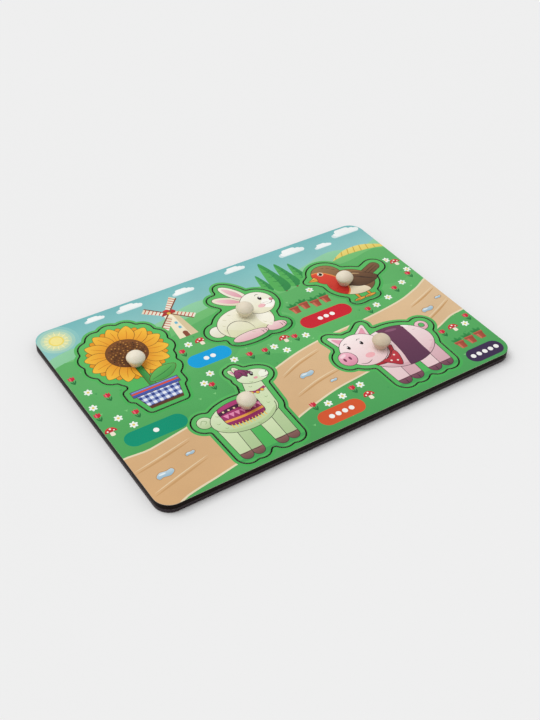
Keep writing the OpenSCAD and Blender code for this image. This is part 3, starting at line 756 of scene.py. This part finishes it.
for k in range(fringe_count):
    x = -18.4 + 2.6 * k
    low = -12.6 - 1.2 * math.sin(math.pi * k / (fringe_count - 1))
    llama.ink(line([(x, low + 2), (x - 0.2, low), (x + 0.1, low - 2.2)], 0.9, 0.5), "#e9c35a")
llama.ink(line([(8.2, 11), (14, 8.8), (22, 10.4)], 2.4, 1), "#a43468", within=(neck,))
for x, y in ((10.4, 9), (14.4, 7.6), (18.6, 8.4)):
    llama.drawn(oval(x, y, 2.6, 2.6), "#e8b64c", width=0.3)
llama.ink(oval(20.8, 26.2, 2.6, 3.6), "#2a2420")
llama.ink(oval(21.4, 27.2, 0.9, 1.1), "#ffffff")
llama.ink(line([(18.6, 29), (20.6, 30), (22.6, 29.4)], 0.45), llama.pen)
llama.ink(oval(21.6, 21.4, 3.4, 2.4), "#e7a0a6")
llama.ink(oval(31.4, 23.6, 1.4, 0.9, 20), llama.pen)
llama.ink(line([(32, 20.2), (28.4, 19.2), (25.4, 20.2)], 0.5), llama.pen)
wool = ((-27, -5), (-24, 2), (-24, -11), (14, -4), (16, 2), (12, 16), (15.4, 20), (-2, -18.4))
llama.flecks(wool, ((1, -1.4), (2.4, -1)), 0.45, "#8ea873")
printed_sheet("llama", "llama_piece", llama)

# Pig piece
# A print on the fifth piece: a pale pink pig with a plum band round its middle, which looks to the left.
# It has a round pink snout, a curled tail and a red neckerchief with white spots.

pig = piece_ground("pig", "#3c2a30")
pig.ink(oval(12, -42.5, 60, 5), "#43a055")
pig.drawn(oval(42.5, 4, 10.4, 10.4), "#e2a9b5", "#f0c6cc")
pig.drawn(oval(42.8, 4.2, 4.4, 4.4), "#5fb768")
for x, low, high in ((3.5, "#cfa3ab", "#dfbdc2"), (31.5, "#cfa3ab", "#dfbdc2"), (-7.5, "#e3c3c6", "#f0dada"),
                     (20.5, "#e3c3c6", "#f0dada")):
    leg = pig.drawn(limb(x, -12, x, -37.6, 6.4, 5.3), low, high)
    pig.ink(box(x - 7, -44, 14, 7), "#633848", "#80505f", within=(leg,))
    pig.ink(line([(x, -43), (x + 0.2, -40.6), (x, -38.4)], 0.6), pig.pen, within=(leg,))
    pig.ink(line([(x - 6.5, -36.8), (x, -37.8), (x + 6.5, -36.8)], 0.45), pig.pen, within=(leg,))
trunk = pig.drawn(oval(12, -6, 60, 44), "#dcb7bc", "#f5e4e3")
belly = smooth([(-14, -18), (4, -24), (24, -24), (40, -14), (30, -32), (-4, -32)])
pig.ink(belly, "#cfa2aa", "#dcb9bf", within=(trunk,))
band = smooth([(8, 20), (27, 20), (29, 4), (28, -12), (25, -34), (7, -34), (10, -12), (11, 4)])
band = pig.ink(band, "#55304a", "#6f3f58", within=(trunk,))
pig.ink(oval(18.5, 11.4, 10, 2.8, -10), "#8a5872", within=(band,))
pig.ink(oval(31, 10.4, 6, 2.6, -32), "#fbf1f0", within=(trunk,))
collar = line([(-16, -14), (-6, -15.4), (3, -10), (6.4, -2)], 3, 1)
pig.drawn(collar, "#a82633", "#c9404a", within=(trunk,))
kerchief = smooth([(-9, -14), (-1, -13), (5, -8), (6.4, -13), (2, -24), (-4, -19.6)])
kerchief = pig.drawn(kerchief, "#a82633", "#c9404a")
for x, y in ((-3, -16.8), (2.6, -12.6), (1.4, -18.8)):
    pig.ink(oval(x, y, 1.7, 1.7), "#f3e6dc", within=(kerchief,))
for turn in (124, 56):
    pig.drawn(moved(limb(13, 0, 27.2, 0, 6.8, 1.4), -13, 4, turn), "#e6c4c6", "#f5e2e1")
    pig.ink(moved(limb(14.5, 0, 24.5, 0, 4.0, 0.9), -13, 4, turn), "#e59fb0")
pig.drawn(oval(-13, 4, 36, 36), "#e8c9cb", "#f8eae8")
pig.ink(oval(-12.5, -3.6, 8, 5.4), "#eeb0b6")
pig.drawn(oval(-29.6, 1, 13.6, 15), "#d98aa3", "#efb6c5")
pig.ink(oval(-31, 5.4, 6, 3, 20), "#f7d3db")
for x in (-32.2, -27.6):
    pig.ink(oval(x, 1, 2.0, 4.0), "#7b3c55")
pig.ink(line([(-24, -8), (-19.6, -10.2), (-14.4, -8.6)], 0.6), pig.pen)
for x in (-21.6, -9.8):
    pig.ink(oval(x, 11, 2.8, 4.2), "#241a1c")
    pig.ink(oval(x - 0.5, 12.2, 1.0, 1.3), "#ffffff")
    pig.ink(line([(x - 1.8, 15), (x, 16), (x + 1.8, 15.2)], 0.5), pig.pen)
creases = ((33, 4), (36, -13), (0, -24), (30, -20))
pig.flecks(creases, ((1.2, -1), (2.6, -0.8)), 0.4, "#c295a0", within=(trunk,))
printed_sheet("pig", "pig_piece", pig)

# Screws
# A countersunk steel screw, zinc plated, holds each knob from the back of its piece.
# Its head lies just below the underside.

screw_finish, tree, shader = new_material("zinc_plate")
where = add(tree, "ShaderNodeTexCoord").outputs["Object"]
bloom = noise(tree, where, 900, 5, 0.65)
scratches = noise(tree, where, 6000, 2)
brushed = add(tree, "ShaderNodeBump", {"Height": scratches, "Strength": 0.15, "Distance": 0.00003})
wire(tree, shader, {
    "Base Color": mixed(tree, bloom, "#9a9da1", "#cfd1d0"), "Roughness": ranged(tree, bloom, 0.22, 0.46),
    "Metallic": 1.0, "Normal": brushed.outputs[0]})
for piece in pieces:
    dress(piece + "_screw", screw_finish)

# Knobs
# Each knob is turned from pale beech: a flat foot, a taper out to the widest ring and a domed crown.
# It is sanded, sealed with clear lacquer and screwed to its piece from the back.

knob_foot_d, ring_h = 8.5 * mm, 5.8 * mm
under_r, shoulder_r = 2.0 * mm, 2.5 * mm
knob_sides, run_points = 72, 12

knob_finish, tree, shader = new_material("lacquered_beech")
where = add(tree, "ShaderNodeTexCoord").outputs["Object"]
grain_turn = [math.radians(turn) for turn in (12, 70, 25)]
along_grain = add(tree, "ShaderNodeMapping", {
    "Vector": where, "Rotation": grain_turn, "Scale": (1, 1, 0.10)}).outputs[0]
growth = noise(tree, along_grain, 420, 4, 0.6)
fibres = noise(tree, along_grain, 2600, 5, 0.7)
pores = noise(tree, along_grain, 5200, 2, 0.5)
billet = add(tree, "ShaderNodeMapping", {"Vector": where, "Location": (6.7, 2.0, 0)}).outputs[0]
batch = noise(tree, billet, 12, 1)
wood = mixed(tree, ranged(tree, batch, 0, 1, 0.40, 0.60), "#d2c0a7", "#f0e8d7")
wood = mixed(tree, ranged(tree, growth, 0, 0.40, 0.40, 0.75), wood, "#dfd1b5")
wood = mixed(tree, ranged(tree, fibres, 0, 0.30, 0.45, 0.75), wood, "#d5c5a6")
wood = mixed(tree, ranged(tree, pores, 0, 0.40, 0.66, 0.74), wood, "#b8a27c")
sanded = add(tree, "ShaderNodeBump", {"Height": fibres, "Strength": 0.10, "Distance": 0.00010})
wire(tree, shader, {
    "Base Color": wood, "Roughness": ranged(tree, fibres, 0.40, 0.56), "Normal": sanded.outputs[0],
    "Specular IOR Level": 0.25, "Coat Weight": 0.05, "Coat Roughness": 0.3})

lathe = bpy.data.node_groups.new("turned_knob", "GeometryNodeTree")
lathe.interface.new_socket("Geometry", in_out="OUTPUT", socket_type="NodeSocketGeometry")
inlet = {}
for name, kind in (
    ("Foot radius", "Float"), ("Taper end", "Vector"), ("Ring level", "Float"), ("Under radius", "Float"),
    ("Under inset", "Float"), ("Under turn", "Float"), ("Shoulder radius", "Float"),
    ("Shoulder inset", "Float"), ("Crown radius", "Float"), ("Crown level", "Float"), ("Crown turn", "Float"),
    ("Sides", "Int"), ("Points in a run", "Int"), ("Place", "Vector"), ("Wood", "Material"),
):
    inlet[name] = lathe.interface.new_socket(name, in_out="INPUT", socket_type="NodeSocket" + kind).identifier
sizes = add(lathe, "NodeGroupInput").outputs


def less(first, second):
    """The difference of two of the tree's values."""
    return add(lathe, "ShaderNodeMath", {0: first, 1: second}, operation="SUBTRACT").outputs[0]


profile = add(lathe, "GeometryNodeJoinGeometry")
foot_rim = add(lathe, "ShaderNodeCombineXYZ", {"X": sizes["Foot radius"]}).outputs[0]
taper = add(lathe, "GeometryNodeCurvePrimitiveLine", {
    "Start": foot_rim, "End": sizes["Taper end"]}, mode="POINTS")
taper = add(lathe, "GeometryNodeResampleCurve", {
    "Curve": taper.outputs[0], "Count": sizes["Points in a run"]})
lathe.links.new(taper.outputs[0], profile.inputs[0])
quarter = math.pi / 2
arcs = (
    (sizes["Under radius"], sizes["Under inset"], sizes["Ring level"],
     sizes["Under turn"], less(0.0, sizes["Under turn"])),
    (sizes["Shoulder radius"], sizes["Shoulder inset"], sizes["Ring level"],
     0.0, sizes["Crown turn"]),
    (sizes["Crown radius"], 0.0, sizes["Crown level"],
     sizes["Crown turn"], less(quarter, sizes["Crown turn"])),
)
for radius, out, up, start, sweep in arcs:
    curve = add(lathe, "GeometryNodeCurveArc", {
        "Resolution": sizes["Points in a run"], "Start Angle": start, "Sweep Angle": sweep}, mode="RADIUS")
    lathe.links.new(radius, next(s for s in curve.inputs if s.name == "Radius" and s.enabled))
    middle = add(lathe, "ShaderNodeCombineXYZ", {"X": out, "Y": up}).outputs[0]
    set_out = add(lathe, "GeometryNodeTransform", {"Geometry": curve.outputs["Curve"], "Translation": middle})
    lathe.links.new(set_out.outputs[0], profile.inputs[0])
point = add(lathe, "ShaderNodeSeparateXYZ", {"Vector": add(lathe, "GeometryNodeInputPosition").outputs[0]})
reach = add(lathe, "GeometryNodeStoreNamedAttribute", {
    "Geometry": profile.outputs[0], "Name": "reach", "Value": point.outputs["X"],
}, data_type="FLOAT", domain="POINT")
on_axis = add(lathe, "ShaderNodeCombineXYZ", {"Z": point.outputs["Y"]}).outputs[0]
spine = add(lathe, "GeometryNodeSetPosition", {"Geometry": reach.outputs[0], "Position": on_axis})
ring = add(lathe, "GeometryNodeCurvePrimitiveCircle", {
    "Resolution": sizes["Sides"], "Radius": 1.0}, mode="RADIUS")
read_reach = add(lathe, "GeometryNodeInputNamedAttribute", {"Name": "reach"}, data_type="FLOAT").outputs[0]
turned = add(lathe, "GeometryNodeCurveToMesh", {
    "Curve": spine.outputs[0], "Profile Curve": ring.outputs["Curve"], "Scale": read_reach})
foot_ring = add(lathe, "GeometryNodeCurvePrimitiveCircle", {
    "Resolution": sizes["Sides"], "Radius": sizes["Foot radius"]}, mode="RADIUS")
foot = add(lathe, "GeometryNodeFillCurve", {"Curve": foot_ring.outputs["Curve"]})
foot = add(lathe, "GeometryNodeFlipFaces", {"Mesh": foot.outputs[0]})
whole = add(lathe, "GeometryNodeJoinGeometry")
for part in (turned.outputs[0], foot.outputs[0]):
    lathe.links.new(part, whole.inputs[0])
closed = add(lathe, "GeometryNodeMergeByDistance", {"Geometry": whole.outputs[0], "Distance": 2e-6})
placed = add(lathe, "GeometryNodeTransform", {"Geometry": closed.outputs[0], "Translation": sizes["Place"]})
facing = add(lathe, "ShaderNodeSeparateXYZ", {"Vector": add(lathe, "GeometryNodeInputNormal").outputs[0]})
off_foot = add(lathe, "ShaderNodeMath", {
    0: facing.outputs["Z"], 1: -0.99}, operation="GREATER_THAN").outputs[0]
sleek = add(lathe, "GeometryNodeSetShadeSmooth", {"Geometry": placed.outputs[0], "Shade Smooth": off_foot})
real = add(lathe, "GeometryNodeRealizeInstances", {"Geometry": sleek.outputs[0]})
finished = add(lathe, "GeometryNodeSetMaterial", {"Geometry": real.outputs[0], "Material": sizes["Wood"]})
outlet = add(lathe, "NodeGroupOutput")
lathe.links.new(finished.outputs[0], outlet.inputs[0])

for piece in pieces:
    low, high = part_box(piece + "_knob")
    knob_r, crown_h = (high.x - low.x) / 2, high.z - low.z - ring_h
    under_in, shoulder_in = knob_r - under_r, knob_r - shoulder_r
    run_in = knob_foot_d / 2 - under_in
    under_turn = math.atan2(-ring_h, run_in) + math.acos(under_r / math.hypot(run_in, ring_h))
    taper_x, taper_z = under_in + under_r * math.cos(under_turn), ring_h + under_r * math.sin(under_turn)
    crown_r = (shoulder_in ** 2 + crown_h ** 2 - shoulder_r ** 2) / (2 * (crown_h - shoulder_r))
    crown_z = ring_h + crown_h - crown_r
    crown_turn = math.atan2(ring_h - crown_z, shoulder_in)
    values = {
        "Foot radius": knob_foot_d / 2, "Taper end": Vector((taper_x, taper_z, 0)), "Ring level": ring_h,
        "Under radius": under_r, "Under inset": under_in, "Under turn": under_turn,
        "Shoulder radius": shoulder_r, "Shoulder inset": shoulder_in,
        "Crown radius": crown_r, "Crown level": crown_z, "Crown turn": crown_turn,
        "Sides": knob_sides, "Points in a run": run_points,
        "Place": Vector(((low.x + high.x) / 2, (low.y + high.y) / 2, low.z)), "Wood": knob_finish,
    }
    blank = put(piece + "_turned_knob", bpy.data.meshes.new(piece + "_blank"))
    turning = blank.modifiers.new("turning", "NODES")
    turning.node_group = lathe
    for name, value in values.items():
        turning[inlet[name]] = value
    seen = blank.evaluated_get(bpy.context.evaluated_depsgraph_get())
    mesh = bpy.data.meshes.new_from_object(seen)
    mesh.name = piece + "_turned_knob"
    blank.modifiers.remove(turning)
    blank.data = mesh
    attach(blank, piece + "_piece")
    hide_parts(piece + "_knob")

# Studio
# A wide pale floor, an even sky and one broad soft lamp from behind on the left.
# Together they light a level face so that its colour shows as it is.

floor_colour, floor_half, floor_gap = "#efefef", 12.0, 0.0002
sky_level, lamp_level, lamp_spread = 0.56, 1.50, 50

floor_finish, tree, shader = new_material("pale_floor")
where = add(tree, "ShaderNodeTexCoord").outputs["Object"]
floor_mottle = noise(tree, where, 1.5, 2)
wire(tree, shader, {
    "Base Color": mixed(tree, floor_mottle, "#eeeeee", "#f0f0f0"), "Roughness": 0.9,
    "Specular IOR Level": 0.0})
floor_mesh = bpy.data.meshes.new("floor")
corners = [(-floor_half, -floor_half, 0), (floor_half, -floor_half, 0),
           (floor_half, floor_half, 0), (-floor_half, floor_half, 0)]
floor_mesh.from_pydata(corners, [], [(0, 1, 2, 3)])
floor_mesh.materials.append(floor_finish)
floor = put("floor", floor_mesh)
floor.location.z = cad_box[0].z - floor_gap

world = bpy.data.worlds.new("studio")
bpy.context.scene.world = world
world.use_nodes = True
tree = world.node_tree
backdrop = tree.nodes["Background"]
path = add(tree, "ShaderNodeLightPath").outputs
seen = path["Is Camera Ray"]
for ray in ("Is Glossy Ray", "Is Transmission Ray"):
    seen = add(tree, "ShaderNodeMath", {0: seen, 1: path[ray]}, operation="MAXIMUM").outputs[0]
strength = ranged(tree, seen, sky_level, tint(floor_colour)[0])
wire(tree, backdrop, {"Color": (1, 1, 1, 1), "Strength": strength})

lamp = bpy.data.lights.new("soft_lamp", "SUN")
lamp.energy = lamp_level
lamp.angle = math.radians(lamp_spread)
lamp_object = put("soft_lamp", lamp)
lamp_from = Vector((-0.42, 0.50, 1.5))
lamp_object.rotation_mode = "QUATERNION"
lamp_object.rotation_quaternion = lamp_from.to_track_quat("Z", "Y")

# Camera
# It stands to the left of the board's front edge and looks down on its middle, as the photograph does.

camera_at, camera_aim = Vector((-0.3466, -0.4889, 0.5028)), Vector((-0.0080, -0.0078, 0.0))
camera_tilt = 2.44
lens = bpy.data.cameras.new("camera")
lens.sensor_width, lens.lens = 36, 52.23
lens.clip_start, lens.clip_end = 0.01, 60
camera = put("camera", lens)
camera.location = camera_at
camera.rotation_mode = "QUATERNION"
level_view = (camera_aim - camera_at).to_track_quat("-Z", "Y")
camera.rotation_quaternion = level_view @ Quaternion((0, 0, 1), math.radians(camera_tilt))
bpy.context.scene.camera = camera
bpy.context.scene.view_settings.view_transform = "Standard"
